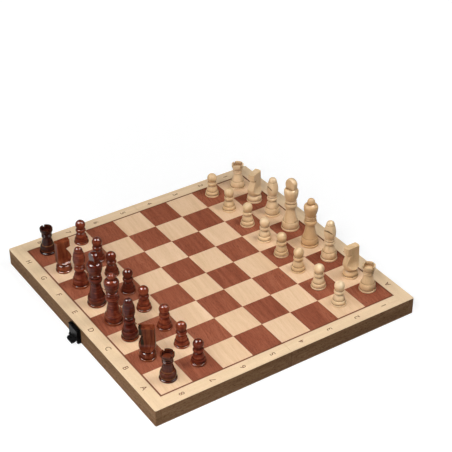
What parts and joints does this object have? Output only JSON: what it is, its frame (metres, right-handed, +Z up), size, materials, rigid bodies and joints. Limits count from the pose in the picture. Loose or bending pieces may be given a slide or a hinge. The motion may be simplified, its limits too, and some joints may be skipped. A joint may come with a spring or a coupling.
{
  "type": "folding chess box",
  "caption": "Hinged wooden chess box lying open as an inlaid board with its turned chessmen set up, hollow halves below for storing the men, and a draw clasp on the edge.",
  "frame": {"origin": "middle of the fold of the open board, on the plane of the rims that it rests on", "axes": "+Z up out of the playing surface, +X from the black player's edge to the white player's edge, +Y from file a to file h; the board folds about Y"},
  "size_m": [0.3709, 0.358, 0.0976],
  "materials": {
    "wall_wood": "satin beech",
    "core_wood": "raw plywood",
    "light_veneer": "satin maple",
    "dark_veneer": "satin mahogany",
    "border_veneer": "satin maple",
    "inlay_wood": "satin",
    "white_men": "satin",
    "black_men": "gloss lacquer",
    "hinge_brass": "satin",
    "screw_steel": "satin",
    "clasp_black": "satin",
    "clasp_screws": "satin"
  },
  "bodies": {
    "white_half": {"white_hinge_rail": "wall_wood", "white_latch_rail": "wall_wood", "white_end_rails": "wall_wood", "white_core_panel": "core_wood", "white_light_squares": "light_veneer", "white_dark_squares": "dark_veneer", "white_border_veneer": "border_veneer", "white_inlay_line": "inlay_wood", "white_hinge_leaves": "hinge_brass", "white_hinge_screws": "screw_steel", "hinge_pins": "screw_steel", "clasp_strike": "clasp_black", "strike_screws": "clasp_screws"},
    "black_half": {"black_hinge_rail": "wall_wood", "black_latch_rail": "wall_wood", "black_end_rails": "wall_wood", "black_core_panel": "core_wood", "black_light_squares": "light_veneer", "black_dark_squares": "dark_veneer", "black_border_veneer": "border_veneer", "black_inlay_line": "inlay_wood", "black_hinge_leaves": "hinge_brass", "black_hinge_screws": "screw_steel", "clasp_base": "clasp_black", "base_screws": "clasp_screws", "clasp_rivets": "clasp_screws"},
    "clasp_lever": {"clasp_lever": "clasp_black"},
    "clasp_hook": {"clasp_hook": "clasp_black"},
    "white_pawn_a": {"white_pawn_a": "white_men"},
    "white_pawn_b": {"white_pawn_b": "white_men"},
    "white_pawn_c": {"white_pawn_c": "white_men"},
    "white_pawn_d": {"white_pawn_d": "white_men"},
    "white_pawn_e": {"white_pawn_e": "white_men"},
    "white_pawn_f": {"white_pawn_f": "white_men"},
    "white_pawn_g": {"white_pawn_g": "white_men"},
    "white_pawn_h": {"white_pawn_h": "white_men"},
    "white_rook_a": {"white_rook_a": "white_men"},
    "white_knight_b": {"white_knight_b": "white_men"},
    "white_bishop_c": {"white_bishop_c": "white_men"},
    "white_queen": {"white_queen": "white_men"},
    "white_king": {"white_king": "white_men"},
    "white_bishop_f": {"white_bishop_f": "white_men"},
    "white_knight_g": {"white_knight_g": "white_men"},
    "white_rook_h": {"white_rook_h": "white_men"},
    "black_pawn_a": {"black_pawn_a": "black_men"},
    "black_pawn_b": {"black_pawn_b": "black_men"},
    "black_pawn_c": {"black_pawn_c": "black_men"},
    "black_pawn_d": {"black_pawn_d": "black_men"},
    "black_pawn_e": {"black_pawn_e": "black_men"},
    "black_pawn_f": {"black_pawn_f": "black_men"},
    "black_pawn_g": {"black_pawn_g": "black_men"},
    "black_pawn_h": {"black_pawn_h": "black_men"},
    "black_rook_a": {"black_rook_a": "black_men"},
    "black_knight_b": {"black_knight_b": "black_men"},
    "black_bishop_c": {"black_bishop_c": "black_men"},
    "black_queen": {"black_queen": "black_men"},
    "black_king": {"black_king": "black_men"},
    "black_bishop_f": {"black_bishop_f": "black_men"},
    "black_knight_g": {"black_knight_g": "black_men"},
    "black_rook_h": {"black_rook_h": "black_men"}
  },
  "joints": [
    {"name": "board_fold", "type": "hinge", "parent": "white_half", "child": "black_half", "pos_m": [0, 0, -0.00015], "axis": [0, 1, 0], "range_deg": [-180, 0]},
    {"name": "clasp_lever", "type": "hinge", "parent": "black_half", "child": "clasp_lever", "pos_m": [-0.1826, 0, 0.0029], "axis": [0, -1, 0], "range_deg": [0, 105]},
    {"name": "clasp_hook", "type": "hinge", "parent": "clasp_lever", "child": "clasp_hook", "pos_m": [-0.1817, 0, 0.0048], "axis": [0, 1, 0], "range_deg": [-72, 28]},
    {"name": "lift_white_pawn_a", "type": "slide", "parent": "white_half", "child": "white_pawn_a", "axis": [0, 0, 1], "range_m": [0, 0.1]},
    {"name": "lift_white_pawn_b", "type": "slide", "parent": "white_half", "child": "white_pawn_b", "axis": [0, 0, 1], "range_m": [0, 0.1]},
    {"name": "lift_white_pawn_c", "type": "slide", "parent": "white_half", "child": "white_pawn_c", "axis": [0, 0, 1], "range_m": [0, 0.1]},
    {"name": "lift_white_pawn_d", "type": "slide", "parent": "white_half", "child": "white_pawn_d", "axis": [0, 0, 1], "range_m": [0, 0.1]},
    {"name": "lift_white_pawn_e", "type": "slide", "parent": "white_half", "child": "white_pawn_e", "axis": [0, 0, 1], "range_m": [0, 0.1]},
    {"name": "lift_white_pawn_f", "type": "slide", "parent": "white_half", "child": "white_pawn_f", "axis": [0, 0, 1], "range_m": [0, 0.1]},
    {"name": "lift_white_pawn_g", "type": "slide", "parent": "white_half", "child": "white_pawn_g", "axis": [0, 0, 1], "range_m": [0, 0.1]},
    {"name": "lift_white_pawn_h", "type": "slide", "parent": "white_half", "child": "white_pawn_h", "axis": [0, 0, 1], "range_m": [0, 0.1]},
    {"name": "lift_white_rook_a", "type": "slide", "parent": "white_half", "child": "white_rook_a", "axis": [0, 0, 1], "range_m": [0, 0.1]},
    {"name": "lift_white_knight_b", "type": "slide", "parent": "white_half", "child": "white_knight_b", "axis": [0, 0, 1], "range_m": [0, 0.1]},
    {"name": "lift_white_bishop_c", "type": "slide", "parent": "white_half", "child": "white_bishop_c", "axis": [0, 0, 1], "range_m": [0, 0.1]},
    {"name": "lift_white_queen", "type": "slide", "parent": "white_half", "child": "white_queen", "axis": [0, 0, 1], "range_m": [0, 0.1]},
    {"name": "lift_white_king", "type": "slide", "parent": "white_half", "child": "white_king", "axis": [0, 0, 1], "range_m": [0, 0.1]},
    {"name": "lift_white_bishop_f", "type": "slide", "parent": "white_half", "child": "white_bishop_f", "axis": [0, 0, 1], "range_m": [0, 0.1]},
    {"name": "lift_white_knight_g", "type": "slide", "parent": "white_half", "child": "white_knight_g", "axis": [0, 0, 1], "range_m": [0, 0.1]},
    {"name": "lift_white_rook_h", "type": "slide", "parent": "white_half", "child": "white_rook_h", "axis": [0, 0, 1], "range_m": [0, 0.1]},
    {"name": "lift_black_pawn_a", "type": "slide", "parent": "black_half", "child": "black_pawn_a", "axis": [0, 0, 1], "range_m": [0, 0.1]},
    {"name": "lift_black_pawn_b", "type": "slide", "parent": "black_half", "child": "black_pawn_b", "axis": [0, 0, 1], "range_m": [0, 0.1]},
    {"name": "lift_black_pawn_c", "type": "slide", "parent": "black_half", "child": "black_pawn_c", "axis": [0, 0, 1], "range_m": [0, 0.1]},
    {"name": "lift_black_pawn_d", "type": "slide", "parent": "black_half", "child": "black_pawn_d", "axis": [0, 0, 1], "range_m": [0, 0.1]},
    {"name": "lift_black_pawn_e", "type": "slide", "parent": "black_half", "child": "black_pawn_e", "axis": [0, 0, 1], "range_m": [0, 0.1]},
    {"name": "lift_black_pawn_f", "type": "slide", "parent": "black_half", "child": "black_pawn_f", "axis": [0, 0, 1], "range_m": [0, 0.1]},
    {"name": "lift_black_pawn_g", "type": "slide", "parent": "black_half", "child": "black_pawn_g", "axis": [0, 0, 1], "range_m": [0, 0.1]},
    {"name": "lift_black_pawn_h", "type": "slide", "parent": "black_half", "child": "black_pawn_h", "axis": [0, 0, 1], "range_m": [0, 0.1]},
    {"name": "lift_black_rook_a", "type": "slide", "parent": "black_half", "child": "black_rook_a", "axis": [0, 0, 1], "range_m": [0, 0.1]},
    {"name": "lift_black_knight_b", "type": "slide", "parent": "black_half", "child": "black_knight_b", "axis": [0, 0, 1], "range_m": [0, 0.1]},
    {"name": "lift_black_bishop_c", "type": "slide", "parent": "black_half", "child": "black_bishop_c", "axis": [0, 0, 1], "range_m": [0, 0.1]},
    {"name": "lift_black_queen", "type": "slide", "parent": "black_half", "child": "black_queen", "axis": [0, 0, 1], "range_m": [0, 0.1]},
    {"name": "lift_black_king", "type": "slide", "parent": "black_half", "child": "black_king", "axis": [0, 0, 1], "range_m": [0, 0.1]},
    {"name": "lift_black_bishop_f", "type": "slide", "parent": "black_half", "child": "black_bishop_f", "axis": [0, 0, 1], "range_m": [0, 0.1]},
    {"name": "lift_black_knight_g", "type": "slide", "parent": "black_half", "child": "black_knight_g", "axis": [0, 0, 1], "range_m": [0, 0.1]},
    {"name": "lift_black_rook_h", "type": "slide", "parent": "black_half", "child": "black_rook_h", "axis": [0, 0, 1], "range_m": [0, 0.1]}
  ]
}
